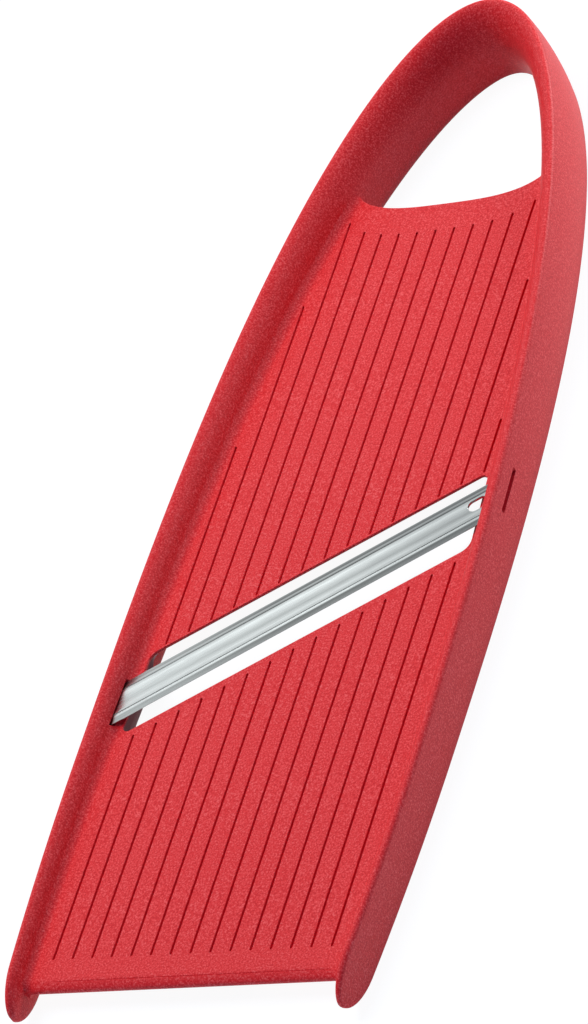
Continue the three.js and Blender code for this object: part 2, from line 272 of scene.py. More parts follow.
@dataclass(frozen=True)
class Rails:
    """The two rails and the handle loop that joins them."""

    plan: Outline
    crown_drop: float = 1.35
    foot_radius: float = 0.7
    outer_bow: float = 0.8
    nose_length: float = 12.5
    nose_bluntness: float = 0.05
    nose_steps: int = 16
    near_steps: int = 12
    loop_steps: int = 84
    normal_step: float = 0.02

    def section(self, y: float) -> list[tuple[float, float]]:
        """Section of the rail at y.

        Args:
            y: station along the slicer.

        Returns:
            Points as distance from the outer face and height.
        """
        top, bottom = self.plan.top(y), self.plan.bottom(y)
        points = []
        for angle in steps(5, 0, QUARTER):
            x = self.foot_radius * (1 - math.cos(angle))
            points.append((x, bottom + self.foot_radius * (1 - math.sin(angle))))
        for angle in steps(16, -QUARTER, 0):
            z = -bottom * math.sin(angle)
            points.append((self.plan.wall_depth(y, z), z))
        for angle in steps(16, 0, QUARTER)[1:]:
            z = top * math.sin(angle)
            points.append((self.plan.wall_depth(y, z), z))
        for angle in steps(12, QUARTER, 0)[1:]:
            x = self.plan.crown_width * (1 - math.cos(angle))
            points.append((x, top - self.crown_drop * (1 - math.sin(angle))))
        bow = self.outer_bow * smooth(y / self.plan.length)
        for share in steps(10, 0, 1)[1:-1]:
            z = (top - self.crown_drop) * (1 - share) + (bottom + self.foot_radius) * share
            points.append((-4 * bow * share * (1 - share), z))
        return points

    def stations(self) -> list[tuple[float, float]]:
        """Stations of one rail, from its tip to the end of the loop.

        Returns:
            Pairs of y and the share that the section has shrunk to.
        """
        nose = steps(self.nose_steps, self.nose_bluntness, QUARTER)
        made = [(self.nose_length * (1 - math.cos(a)), math.sin(a)) for a in nose]
        made += [(y, 1.0) for y in steps(self.near_steps, self.nose_length, self.plan.widest_y)[1:]]
        span = self.plan.length - self.plan.widest_y
        for angle in steps(self.loop_steps, 0, QUARTER)[1:]:
            made.append((self.plan.widest_y + span * math.sin(angle) ** (2 / self.plan.taper_power), 1.0))
        return made

    def inward(self, y: float) -> Vector:
        """Inward normal of the plan outline at y.

        Args:
            y: station along the slicer.

        Returns:
            A unit vector in plan.
        """
        if y >= self.plan.length:
            return Vector((0, -1))
        low = max(y - self.normal_step, 0.0)
        high = min(y + self.normal_step, self.plan.length)
        return Vector((low - high, self.plan.half(high) - self.plan.half(low))).normalized()

    def ring(self, y: float, shrink: float) -> Section:
        """Section of the rail in its place.

        Args:
            y: station along the slicer.
            shrink: share of the section's height that is left, as at the rounded tips.

        Returns:
            Points of the right-hand rail.
        """
        plan = self.plan
        middle_x = plan.wall(y) / 2
        middle_z = (plan.top(y) + plan.bottom(y)) / 2
        inward = self.inward(y)
        ring = []
        for across, z in self.section(y):
            x = middle_x + (across - middle_x) * math.sqrt(shrink)
            along = y + inward.y * x
            height = middle_z + (z - middle_z) * shrink + plan.bottom(along) - plan.bottom(y)
            ring.append(Vector((plan.half(y) + inward.x * x, along, height)))
        return ring

    def build(self) -> bpy.types.Object:
        """Sweeps the section from one tip, round the loop, to the other tip.

        Returns:
            The rails as one solid.
        """
        right = [self.ring(y, shrink) for y, shrink in self.stations()]
        left = [[Vector((-p.x, p.y, p.z)) for p in ring] for ring in reversed(right[:-1])]
        return to_object("rails", sweep(right + left))


@dataclass(frozen=True)
class Bed:
    """The grooved cutting bed between the rails."""

    plan: Outline
    thickness: float = 2.8
    sink: float = 0.004
    front_y: float = 8.0
    roll_length: float = 3.4
    roll_drop: float = 1.6
    roll_land: float = 0.2
    crease_y: float = 10.2
    crease_half: float = 42.0
    crease_sink: float = 0.1
    crease_width: float = 0.4
    crease_depth: float = 0.14
    crease_fade: float = 0.8
    crease_end: float = 0.1
    opening_y: float = 265.0
    opening_overlap: float = 1.2
    opening_bow: float = 22.0
    opening_power: float = 3.2
    opening_rim: float = 0.35

    def ring(self, y: float, top_cut: float, bottom_cut: float) -> Section:
        """Cross-section of the bed with its fillets, sunk into the rails.

        Args:
            y: station along the slicer.
            top_cut: how far the top is lowered there.
            bottom_cut: how far the underside is raised there.

        Returns:
            A closed ring of points.
        """
        width = self.plan.half(y)
        anchor = width - self.plan.wall(y) / 2
        fillet = self.plan.fillet(y)
        side = []
        for angle in steps(12, 0, QUARTER):
            z = fillet * (1 - math.cos(angle))
            x = width - self.plan.wall_depth(y, z) + self.sink - fillet * (1 - math.sin(angle))
            side.append((x, z - top_cut))
        side.append((anchor, fillet - top_cut))
        side.append((anchor, bottom_cut - self.thickness - fillet))
        for angle in steps(12, QUARTER, 0):
            z = -self.thickness - fillet * (1 - math.cos(angle))
            x = width - self.plan.wall_depth(y, z) + self.sink - fillet * (1 - math.sin(angle))
            side.append((x, z + bottom_cut))
        right = [Vector((x, y, z)) for x, z in side]
        return right + [Vector((-p.x, p.y, p.z)) for p in reversed(right)]

    def build(self) -> bpy.types.Object:
        """Lofts the bed from its rolled front edge to past the handle opening's near end.

        Returns:
            The bed.
        """
        rings = []
        under_roll = self.thickness - self.roll_drop - self.roll_land
        for angle in steps(10, 0, QUARTER):
            share = 1 - math.sin(angle)
            y = self.front_y + self.roll_length * (1 - math.cos(angle))
            rings.append(self.ring(y, self.roll_drop * share, under_roll * share**2))
        start = self.front_y + self.roll_length
        rings += [self.ring(y, 0, 0) for y in steps(70, start, self.opening_y + self.opening_bow)[1:]]
        return to_object("bed", sweep(rings))

    def crease_cutter(self) -> bpy.types.Object:
        """Cutter for the shallow line where the front edge starts to roll down.

        Returns:
            The cutter.
        """
        half = self.crease_width / 2
        depth = self.crease_depth
        profile = [(-half, depth), (-half, 0), (0, -depth), (half, 0), (half, depth)]
        end = self.crease_half
        sections = []
        for x, share in ((-end, self.crease_end), (-end * self.crease_fade, 1), (end, 1)):
            sections.append([
                Vector((x, self.crease_y + dy * share, z * share - self.crease_sink)) for dy, z in profile
            ])
        return to_object("crease_cutter", sweep(sections))

    def opening_reach(self) -> float:
        """Half width over which the far edge bows."""
        return self.plan.inner(self.opening_y) + self.opening_overlap

    def opening_edge(self, x: float) -> float:
        """Place along y of the bed's bowed far edge at x.

        Args:
            x: place across the bed.

        Returns:
            The edge's y.
        """
        share = min(abs(x) / self.opening_reach(), 1.0)
        bow = 1 - (1 - share**self.opening_power) ** (1 / self.opening_power)
        return self.opening_y + self.opening_bow * bow

    def opening_cutter(self) -> bpy.types.Object:
        """Cutter for the bed's far edge, flared so that the edge is rounded above and below.

        Returns:
            The cutter.
        """
        reach = self.opening_reach()
        xs = [reach * math.sin(angle) for angle in steps(60, -QUARTER, QUARTER)]
        edge = [Vector((x, self.opening_edge(x), 0)) for x in xs]
        corner = self.plan.half_width
        far = [Vector((side.value * corner, self.plan.length, 0)) for side in (Side.RIGHT, Side.LEFT)]
        outline = edge + far
        radius = self.opening_rim
        rings = []
        for middle, sign in ((radius - self.thickness, -1), (-radius, 1)):
            arc = [
                (radius * (1 - math.cos(angle)), middle + sign * radius * math.sin(angle))
                for angle in steps(6, 0, QUARTER)
            ]
            arc.append((radius, middle + sign * (radius + REACH)))
            rings += arc if sign > 0 else arc[::-1]
        sections = [offset_ring(outline, [distance] * len(outline), z) for distance, z in rings]
        return to_object("opening_cutter", sweep(sections))


@dataclass(frozen=True)
class Slant:
    """A line that crosses the bed at an angle."""

    centre_y: float
    angle: float

    def y(self, x: float, offset: float) -> float:
        """Place along y of a line parallel to this one.

        Args:
            x: place across the bed.
            offset: distance between the two lines.

        Returns:
            The parallel line's y at x.
        """
        return self.centre_y + x * math.tan(self.angle) + offset / math.cos(self.angle)


@dataclass(frozen=True)
class Gap:
    """The slanted gap that the slices fall through."""

    plan: Outline
    bed: Bed
    slant: Slant = Slant(127.35, math.radians(31))
    width: float = 22.2
    left_ledge: float = 2.6
    right_ledge: float = 2.2
    small_radius: float = 1.5
    large_radius: float = 4.5
    land: float = 0.8
    bevel: float = math.radians(52)
    rim: float = 0.2

    def corner(self, side: Side, offset: float) -> Vector:
        """Corner of the gap, on an end that follows the rail's inner face.

        Args:
            side: rail that the end lies beside.
            offset: distance from the gap's middle line.

        Returns:
            The corner.
        """
        ledge = self.left_ledge if side is Side.LEFT else self.right_ledge
        y = self.slant.y(side.value * self.plan.half_width, offset)
        x = side.value * (self.plan.inner(y) - ledge)
        return Vector((x, self.slant.y(x, offset), 0))

    def rounded(self) -> tuple[Section, list[float]]:
        """Outline of the gap with round corners.

        Returns:
            Its points, anticlockwise, and for each the share of the undercut that it gets.
        """
        half = self.width / 2
        corners = [
            (self.corner(Side.LEFT, -half), self.small_radius, False),
            (self.corner(Side.RIGHT, -half), self.large_radius, True),
            (self.corner(Side.RIGHT, half), self.small_radius, False),
            (self.corner(Side.LEFT, half), self.large_radius, True),
        ]
        points, shares = [], []
        for i, (here, radius, leaves_long_edge) in enumerate(corners):
            to_last = (corners[i - 1][0] - here).normalized()
            to_next = (corners[(i + 1) % len(corners)][0] - here).normalized()
            half_angle = to_last.angle(to_next) / 2
            centre = here + (to_last + to_next).normalized() * radius / math.sin(half_angle)
            start = here + to_last * radius / math.tan(half_angle) - centre
            turn = math.pi - 2 * half_angle
            for share in steps(12, 0, 1):
                points.append(centre + Matrix.Rotation(turn * share, 3, "Z") @ start)
                shares.append(smooth(1 - share if leaves_long_edge else share))
        return points, shares

    def cutter(self) -> bpy.types.Object:
        """Cutter with undercut long edges, a thin land and a rounded upper rim.

        Returns:
            The cutter.
        """
        outline, shares = self.rounded()
        depth = self.bed.thickness - self.land + REACH / 2
        under = [share * depth * math.tan(self.bevel) for share in shares]
        flat = [0.0] * len(outline)
        sections = [offset_ring(outline, under, -self.land - depth), offset_ring(outline, flat, -self.land)]
        for angle in steps(6, 0, QUARTER):
            flare = [self.rim * (1 - math.cos(angle))] * len(outline)
            sections.append(offset_ring(outline, flare, self.rim * (math.sin(angle) - 1)))
        sections.append(offset_ring(outline, [self.rim] * len(outline), REACH))
        return to_object("gap_cutter", sweep(sections))


@dataclass(frozen=True)
class Grooves:
    """The fine straight grooves that let the food slide."""

    plan: Outline
    bed: Bed
    gap: Gap
    pitch: float = 5.8
    width: float = 0.7
    depth: float = 0.8
    rim: float = 0.1
    start_y: float = 16.8
    opening_margin: float = 9.6
    near_margin: float = 2.3
    far_margin: float = 0.6
    side_margin: float = 0.1
    end_share: float = 0.15

    def flat_half(self, y: float) -> float:
        """Half width of the flat bed between its fillets."""
        return self.plan.inner(y) - self.plan.fillet(y)

    def far_end(self, x: float) -> float:
        """Where a groove stops short of the opening or of the fillet at the rail.

        Args:
            x: place of the groove across the bed.

        Returns:
            The groove's last y.
        """
        y = self.bed.opening_edge(x) - self.opening_margin
        while y > self.plan.widest_y and self.flat_half(y) < abs(x) + self.side_margin:
            y -= self.width
        return y

    def runs(self) -> list[tuple[float, float, float]]:
        """Runs of the grooves on both sides of the gap.

        Returns:
            Each run's x and its first and last y.
        """
        count = int((self.flat_half(self.start_y) - self.side_margin) / self.pitch)
        near = self.gap.width / 2 + self.near_margin
        far = self.gap.width / 2 + self.far_margin
        runs = []
        for i in range(-count, count + 1):
            x = i * self.pitch
            runs.append((x, self.start_y, self.gap.slant.y(x, -near)))
            runs.append((x, self.gap.slant.y(x, far), self.far_end(x)))
        return [(x, low, high) for x, low, high in runs if high > low + self.pitch]

    def run_sections(self, x: float, low: float, high: float) -> list[Section]:
        """Sections of one groove's cutter, with pointed ends.

        Args:
            x: place of the groove across the bed.
            low: its near end.
            high: its far end.

        Returns:
            Rings from the near end to the far end.
        """
        half = self.width / 2
        right = [(0, -self.depth), (half * 0.62, -self.depth * 0.9), (half * 0.88, -self.depth * 0.5)]
        right += [(half, -self.rim * 0.6), (half + self.rim * 0.4, -self.rim * 0.15), (half + self.rim, 0)]
        right.append((half + self.rim, half))
        profile = right + [(-dx, z) for dx, z in reversed(right[1:])]
        sections = []
        for y, share in ((low, self.end_share), (low + half, 1), (high - half, 1), (high, self.end_share)):
            sections.append([Vector((x + dx * share, y, z * share)) for dx, z in profile])
        return sections

    def cutter(self) -> bpy.types.Object:
        """One cutter that holds every run.

        Returns:
            The cutter.
        """
        whole = bmesh.new()
        for x, low, high in self.runs():
            part = sweep(self.run_sections(x, low, high))
            data = bpy.data.meshes.new("groove")
            part.to_mesh(data)
            part.free()
            whole.from_mesh(data)
            bpy.data.meshes.remove(data)
        return to_object("groove_cutter", whole)


@dataclass(frozen=True)
class BladeStrip:
    """The rolled, double-edged blade and the seat that it slides into."""

    plan: Outline
    slant: Slant = Slant(125.9, math.radians(31.5))
    width: float = 11.9
    thickness: float = 0.8
    lift: float = 1.5
    edge: float = 0.16
    band: float = 5.6
    hollow: float = 0.12
    shoulder: float = 0.5
    channel: float = 0.5
    channel_depth: float = 0.14
    hole_width: float = 3.6
    hole_length: float = 6.0
    hole_inset: float = 4.0
    hole_offset: float = 0.8
    hole_rim: float = 0.12
    pocket_skin: float = 1.8
    recess: float = 1.2
    clearance: float = 0.3

    def ends(self) -> tuple[float, float]:
        """Places across the bed of the blade's two ends.

        Returns:
            The left and the right end.
        """
        half = self.width / 2
        bounds = {}
        for side in Side:
            ys = [self.slant.y(side.value * self.plan.half_width, offset) for offset in (-half, half)]
            bounds[side] = min(self.plan.half(y) for y in ys)
        return self.pocket_skin + self.clearance - bounds[Side.LEFT], bounds[Side.RIGHT] - self.recess

    def bar(self, profile: Sequence[tuple[float, float]], left: float, right: float) -> bmesh.types.BMesh:
        """Bar along the slant.

        Args:
            profile: points as offset from the slant's middle and height.
            left: place across the bed where it starts.
            right: place where it ends.

        Returns:
            A closed mesh.
        """
        return sweep([
            [Vector((x, self.slant.y(x, offset), self.lift + z)) for offset, z in profile]
            for x in (left, right)
        ])

    def seat_cutter(self) -> bpy.types.Object:
        """Cutter for the pocket in the left rail and the slit in the right one.

        Returns:
            The cutter.
        """
        half = self.width / 2 + self.clearance
        rise = self.thickness / 2 + self.clearance
        profile = [(-half, -rise), (half, -rise), (half, rise), (-half, rise)]
        left = self.ends()[0] - self.clearance
        return to_object("seat_cutter", self.bar(profile, left, self.plan.half_width + REACH))

    def profile(self) -> list[tuple[float, float]]:
        """Section of the strip: a hollow band, a channel each side of it and two ground edges.

        Returns:
            Points as offset from the strip's middle and height.
        """
        band, rise = self.band / 2, self.thickness / 2
        shoulder = band + self.shoulder
        side = [(self.width / 2, self.edge / 2)]
        side.append((shoulder + self.channel, rise - self.channel_depth / 2))
        for share in steps(6, 1, 0)[1:-1]:
            dip = self.channel_depth * math.sin(math.pi * (1 - share * 0.5 - 0.25))
            side.append((shoulder + self.channel * share, rise - dip * math.sin(math.pi * share) ** 0.5))
        side.append((shoulder, rise))
        hollow = [(band * share, rise - self.hollow * (1 - share**2)) for share in steps(16, 1, -1)]
        top = side + hollow + [(-x, z) for x, z in reversed(side)]
        return top + [(x, -z) for x, z in reversed(top)]

    def hole_cutter(self) -> bpy.types.Object:
        """Cutter for the oblong hole near the right end.

        Returns:
            The cutter.
        """
        radius = self.hole_width / 2
        straight = self.hole_length - self.hole_width
        half_turn = steps(14, -QUARTER, QUARTER)
        arc = [Vector((straight + radius * math.cos(a), radius * math.sin(a), 0)) for a in half_turn]
        arc += [Vector((-radius * math.cos(a), -radius * math.sin(a), 0)) for a in half_turn]
        x = self.ends()[1] - (self.hole_inset + self.hole_length - radius) * math.cos(self.slant.angle)
        place = Matrix.Translation((x, self.slant.y(x, self.hole_offset), self.lift))
        turn = Matrix.Rotation(self.slant.angle, 4, "Z")
        flare = self.hole_rim
        rise = self.thickness / 2
        lower = [(flare, -rise - REACH), (flare, -rise), (0, flare - rise)]
        levels = lower + [(grow, -z) for grow, z in reversed(lower)]
        sections = [offset_ring(arc, [grow] * len(arc), z) for grow, z in levels]
        mesh = sweep(sections)
        bmesh.ops.transform(mesh, matrix=place @ turn, verts=mesh.verts)
        return to_object("hole_cutter", mesh)


Value = Union["Shade", float, int]


class Shade:
    """A number in a material's nodes: arithmetic on it adds Math nodes."""

    def __init__(self, bench: "NodeBench", socket: bpy.types.NodeSocket) -> None:
        """Wraps one output socket of a bench."""
        self.bench = bench
        self.socket = socket

    def maths(self, operation: str, *values: Value) -> "Shade":
        """Adds one Math node.

        Args:
            operation: the node's operation.
            values: its inputs, in order.

        Returns:
            The result.
        """
        links = dict(enumerate(values))
        return self.bench.value(self.bench.node("ShaderNodeMath", {"operation": operation}, links))

    def __add__(self, other: Value) -> "Shade":
        """Sum."""
        return self.maths("ADD", self, other)

    __radd__ = __add__

    def __sub__(self, other: Value) -> "Shade":
        """Difference."""
        return self.maths("SUBTRACT", self, other)

    def __rsub__(self, other: Value) -> "Shade":
        """Difference from a number."""
        return self.maths("SUBTRACT", other, self)

    def __mul__(self, other: Value) -> "Shade":
        """Product."""
        return self.maths("MULTIPLY", self, other)

    __rmul__ = __mul__

    def __abs__(self) -> "Shade":
        """Size without sign."""
        return self.maths("ABSOLUTE", self)

    def ramp(self, low: float, high: float) -> "Shade":
        """Smooth rise from 0 at low to 1 at high.

        Args:
            low: value where it starts.
            high: value where it ends.

        Returns:
            The share.
        """
        settings = {"interpolation_type": "SMOOTHSTEP"}
        links = {"Value": self, "From Min": low, "From Max": high}
        return self.bench.value(self.bench.node("ShaderNodeMapRange", settings, links))


class NodeBench:
    """Builds the nodes of one material or world."""

    def __init__(self, tree: bpy.types.NodeTree) -> None:
        """Starts with an empty tree."""
        self.tree = tree
        self.tree.nodes.clear()

    def node(
        self,
        kind: str,
        settings: dict[str, Any] | None = None,
        links: dict[Any, Any] | None = None,
    ) -> bpy.types.Node:
        """Adds one node.

        Args:
            kind: type of the node.
            settings: its properties, set first; a colour ramp's stops go under "stops".
            links: values or links of its sockets, by name or number.

        Returns:
            The node.
        """
        made = self.tree.nodes.new(kind)
        for name, value in (settings or {}).items():
            if name == "stops":
                self.set_stops(made.color_ramp, value)
            else:
                setattr(made, name, value)
        for name, value in (links or {}).items():
            socket = made.inputs[name]
            if isinstance(value, Shade):
                value = value.socket
            if isinstance(value, bpy.types.NodeSocket):
                self.tree.links.new(value, socket)
            else:
                socket.default_value = value
        return made

    def set_stops(self, ramp: bpy.types.ColorRamp, stops: Sequence[tuple[float, Colour]]) -> None:
        """Fills a colour ramp.

        Args:
            ramp: the ramp.
            stops: places from 0 to 1 and their colours, in order.
        """
        while len(ramp.elements) < len(stops):
            ramp.elements.new(0.5)
        for element, (place, colour) in zip(ramp.elements, stops):
            element.position = place
            element.color = (*colour, 1)

    def value(self, node: bpy.types.Node, output: Any = 0) -> Shade:
        """One output of a node, ready for arithmetic."""
        return Shade(self, node.outputs[output])

    def mix(self, factor: Value, first: Any, second: Any) -> bpy.types.NodeSocket:
        """Blend of two colours.

        Args:
            factor: share of the second colour.
            first: colour at 0.
            second: colour at 1.

        Returns:
            The blended colour.
        """
        colours = [c if isinstance(c, bpy.types.NodeSocket) else (*c, 1.0) for c in (first, second)]
        links = {"Factor": factor, 6: colours[0], 7: colours[1]}
        return self.node("ShaderNodeMix", {"data_type": "RGBA"}, links).outputs[2]

    def noise(
        self,
        where: bpy.types.NodeSocket,
        scale: float,
        detail: float = 2.0,
        roughness: float = 0.5,
    ) -> Shade:
        """Noise over a surface.

        Args:
            where: coordinates.
            scale: grains in a metre.
            detail: octaves.
            roughness: weight of the finer octaves.

        Returns:
            Values round 0.5.
        """
        links = {"Vector": where, "Scale": scale, "Detail": detail, "Roughness": roughness}
        return self.value(self.node("ShaderNodeTexNoise", {}, links), "Fac")


@dataclass(frozen=True)
class MouldedRed:
    """Matt red plastic with the fine eroded grain of its mould, and painted shade in creases, grooves and
    fillets and inside the gap.
    """

    angle: float
    centre: Vector
    name: str = "moulded_red"
    colour: Colour = (0.80, 0.027, 0.028)
    deep: Colour = (0.67, 0.010, 0.013)
    pale: Colour = (0.91, 0.106, 0.100)
    # hollow: painted shade, mixed in where ambient occlusion finds creases, grooves and fillets closed in.
    hollow: Colour = (0.69, 0.003, 0.018)
    # pocket: painted shade on the faces inside the gap and beneath it.
    pocket: Colour = (0.13, 0.005, 0.014)
    crevice_shade_reach: float = 0.007
    roughness: float = 0.50
    specular: float = 0.28
    grain_per_metre: float = 2000.0
    pit_per_metre: float = 3600.0
    bump: float = 0.8
    bump_depth: float = 0.00012
    cloud_per_metre: float = 28.0
    gap_reach: float = 0.0485
    gap_half: float = 0.0125
    gap_fade: float = 0.001
    gap_top: float = 0.0006
    gap_top_fade: float = 0.0008

    def painted_gap_shade_share(self, bench: NodeBench, where: bpy.types.NodeSocket) -> Shade:
        """Share of painted shade on the faces inside the gap, below the top of the bed, which also reaches
        the faces under the bed beneath the gap.

        Args:
            bench: nodes of the material.
            where: object coordinates.

        Returns:
            1 inside the gap, 0 elsewhere.
        """
        turned = bench.node("ShaderNodeMapping", {"vector_type": "TEXTURE"}, {
            "Vector": where,
            "Location": self.centre,
            "Rotation": (0, 0, self.angle),
        }).outputs["Vector"]
        local = bench.node("ShaderNodeSeparateXYZ", {}, {"Vector": turned})
        whole = bench.node("ShaderNodeSeparateXYZ", {}, {"Vector": where})
        between = 1 - abs(bench.value(whole, "X")).ramp(self.gap_reach, self.gap_reach + self.gap_fade)
        beside = 1 - abs(bench.value(local, "Y")).ramp(self.gap_half, self.gap_half + self.gap_fade)
        depth = -1 * bench.value(local, "Z")
        return between * beside * depth.ramp(self.gap_top, self.gap_top + self.gap_top_fade)

    def material(self) -> bpy.types.Material:
        """Makes the material.

        Returns:
            The material.
        """
        made = bpy.data.materials.new(self.name)
        made.use_nodes = True
        bench = NodeBench(made.node_tree)
        where = bench.node("ShaderNodeTexCoord").outputs["Object"]
        grain = bench.noise(where, self.grain_per_metre, 2.0, 0.55)
        pits = bench.noise(where, self.pit_per_metre, 3.0, 0.6)
        cloud = bench.noise(where, self.cloud_per_metre)
        height = grain * 0.65 + pits * 0.35
        deep = bench.mix(height.ramp(0.38, 0.51), self.deep, self.colour)
        grained = bench.mix(height.ramp(0.50, 0.63), deep, self.pale)
        # Painted shade: creases, grooves and fillets that ambient occlusion finds closed in are darkened
        # towards the hollow colour.
        open_sky = bench.node("ShaderNodeAmbientOcclusion", {"samples": 8}, {"Distance": self.crevice_shade_reach})
        shaded = bench.mix(bench.value(open_sky, "AO").ramp(0.1, 0.85), self.hollow, grained)
        # Painted shade: faces inside the gap and under the bed beneath it are darkened to the pocket colour.
        colour = bench.mix(self.painted_gap_shade_share(bench, where), shaded, self.pocket)
        rough = self.roughness + (grain - 0.5) * 0.25 + (cloud - 0.5) * 0.08
        bump = bench.node("ShaderNodeBump", {}, {
            "Strength": self.bump,
            "Distance": self.bump_depth,
            "Height": height,
        })
        shader = bench.node("ShaderNodeBsdfPrincipled", {}, {
            "Base Color": colour,
            "Roughness": rough,
            "Specular IOR Level": self.specular,
            "Normal": bump.outputs["Normal"],
        })
        bench.node("ShaderNodeOutputMaterial", {}, {"Surface": shader.outputs["BSDF"]})
        return made


@dataclass(frozen=True)
class RolledSteel:
    """Rolled stainless strip: bands of different polish, with fine lines along it. Its greys also hold
    painted reflection: bright and dark streaks across the bands, lighter towards the left end and darker
    towards the right.
    """

    angle: float
    centre: Vector
    name: str = "rolled_steel"
    half_width: float = 0.006
    half_length: float = 0.055
    # Painted reflection: a light grey is mixed in towards the left end and a dark grey towards the right end;
    # the dark grey also tints the fine lines.
    painted_bright_end: Colour = (0.67, 0.71, 0.72)
    line_grey_and_painted_dim_end: Colour = (0.10, 0.11, 0.12)
    tint: Colour = (0.95, 1.0, 1.01)
    roughness: float = 0.24
    line_per_metre: float = 5200.0
    line_stretch: float = 0.03
    cloud_per_metre: float = 90.0
    bump: float = 0.12
    bump_depth: float = 0.00005
    # Greys across the strip: partly the polish of each band, partly painted reflection, as bright and dark
    # streaks.
    bands: tuple[tuple[float, float], ...] = (
        (-5.95, 0.29), (-5.2, 0.24), (-4.75, 0.19), (-4.45, 0.23), (-4.05, 0.85), (-3.5, 0.98), (-3.1, 0.56),
        (-2.1, 0.74), (-0.5, 0.47), (1.0, 0.67), (2.2, 0.93), (2.9, 0.68), (3.3, 0.56), (3.6, 0.25),
        (3.9, 0.26), (4.25, 0.44), (4.55, 0.39), (4.85, 0.165), (5.3, 0.20), (5.7, 0.29), (5.95, 0.46),
    )

    def band_greys_and_painted_reflection(self, bench: NodeBench, across: Shade) -> bpy.types.NodeSocket:
        """Reflectance of the rolled and ground bands, with painted reflection in it: bright and dark streaks
        across the strip.

        Args:
            bench: nodes of the material.
            across: distance from the middle of the strip.

        Returns:
            The colour.
        """
        stops = []
        for place, grey in self.bands:
            red, green, blue = (grey * share for share in self.tint)
            stops.append((place * MM * 0.5 / self.half_width + 0.5, (red, green, blue)))
        links = {"Fac": across * (0.5 / self.half_width) + 0.5}
        return bench.node("ShaderNodeValToRGB", {"stops": stops}, links).outputs["Color"]

    def material(self) -> bpy.types.Material:
        """Makes the material.

        Returns:
            The material.
        """
        made = bpy.data.materials.new(self.name)
        made.use_nodes = True
        bench = NodeBench(made.node_tree)
        where = bench.node("ShaderNodeTexCoord").outputs["Object"]
        turned = bench.node("ShaderNodeMapping", {"vector_type": "TEXTURE"}, {
            "Vector": where,
            "Location": self.centre,
            "Rotation": (0, 0, self.angle),
        }).outputs["Vector"]
        parts = bench.node("ShaderNodeSeparateXYZ", {}, {"Vector": turned})
        along = bench.value(parts, "X")
        stretched = bench.node("ShaderNodeMapping", {}, {
            "Vector": turned,
            "Scale": (self.line_stretch, 1, 1),
        }).outputs["Vector"]
        lines = bench.noise(stretched, self.line_per_metre, 2.0, 0.6)
        cloud = bench.noise(turned, self.cloud_per_metre)
        bands = self.band_greys_and_painted_reflection(bench, bench.value(parts, "Y"))
        # Painted reflection: lighter towards the left end, darker towards the right end.
        left = bench.mix((-1 * along).ramp(0.0, self.half_length) * 0.45, bands, self.painted_bright_end)
        right = bench.mix(along.ramp(0.0, self.half_length) * 0.35, left, self.line_grey_and_painted_dim_end)
        lined = bench.mix((lines - 0.4).ramp(0, 0.3) * 0.12, right, self.line_grey_and_painted_dim_end)
        rough = self.roughness + (lines - 0.5) * 0.18 + (cloud - 0.5) * 0.1
        bump = bench.node("ShaderNodeBump", {}, {
            "Strength": self.bump,
            "Distance": self.bump_depth,
            "Height": lines,
        })
        shader = bench.node("ShaderNodeBsdfPrincipled", {}, {
            "Base Color": lined,
            "Metallic": 1.0,
            "Roughness": rough,
            "Normal": bump.outputs["Normal"],
        })
        bench.node("ShaderNodeOutputMaterial", {}, {"Surface": shader.outputs["BSDF"]})
        return made


@dataclass(frozen=True)
class PaleFloor:
    """Near-white studio floor that keeps the soft shadow of what stands on it, and glows onto it as painted
    light, with a painted shadow under it.
    """

    name: str = "pale_floor"
    colour: Colour = (0.80, 0.85, 0.95)
    glow: float = 0.88
    painted_floor_light: float = 0.24
    strength: float = 1.07
    painted_shadow_half_width: float = 0.050
    painted_shadow_half_length: float = 0.190

    def material(self) -> bpy.types.Material:
        """Makes the material: seen directly or in a reflection, most of it is plain white. To other rays part
        of it glows as painted light, except in a painted shadow over the object's plan.

        Returns:
            The material.
        """
        made = bpy.data.materials.new(self.name)
        made.use_nodes = True
        bench = NodeBench(made.node_tree)
        path = bench.node("ShaderNodeLightPath")
        seen = bench.value(path, "Is Camera Ray") + bench.value(path, "Is Glossy Ray")
        seen = seen + bench.value(path, "Is Transmission Ray")
        # Painted light and shadow: the floor glows onto the object, but not within an oval under it.
        place = bench.node("ShaderNodeMapping", {}, {
            "Vector": bench.node("ShaderNodeTexCoord").outputs["Object"],
            "Scale": (1 / self.painted_shadow_half_width, 1 / self.painted_shadow_half_length, 0),
        }).outputs["Vector"]
        away = bench.value(bench.node("ShaderNodeVectorMath", {"operation": "LENGTH"}, {0: place}), "Value")
        painted_floor_light = away.ramp(0.85, 1.05) * self.painted_floor_light
        lit = bench.node("ShaderNodeBsdfDiffuse", {}, {"Color": (*self.colour, 1)})
        white = bench.node("ShaderNodeEmission", {}, {"Color": (1, 1, 1, 1), "Strength": self.strength})
        mixed = bench.node("ShaderNodeMixShader", {}, {
            "Fac": painted_floor_light + seen.maths("MINIMUM", seen, 1.0) * (self.glow - painted_floor_light),
            1: lit.outputs["BSDF"],
            2: white.outputs["Emission"],
        })
        below = bench.value(bench.node("ShaderNodeNewGeometry"), "Backfacing")
        open_below = bench.node("ShaderNodeMixShader", {}, {
            "Fac": below,
            1: mixed.outputs["Shader"],
            2: bench.node("ShaderNodeBsdfTransparent").outputs["BSDF"],
        })
        bench.node("ShaderNodeOutputMaterial", {}, {"Surface": open_below.outputs["Shader"]})
        return made


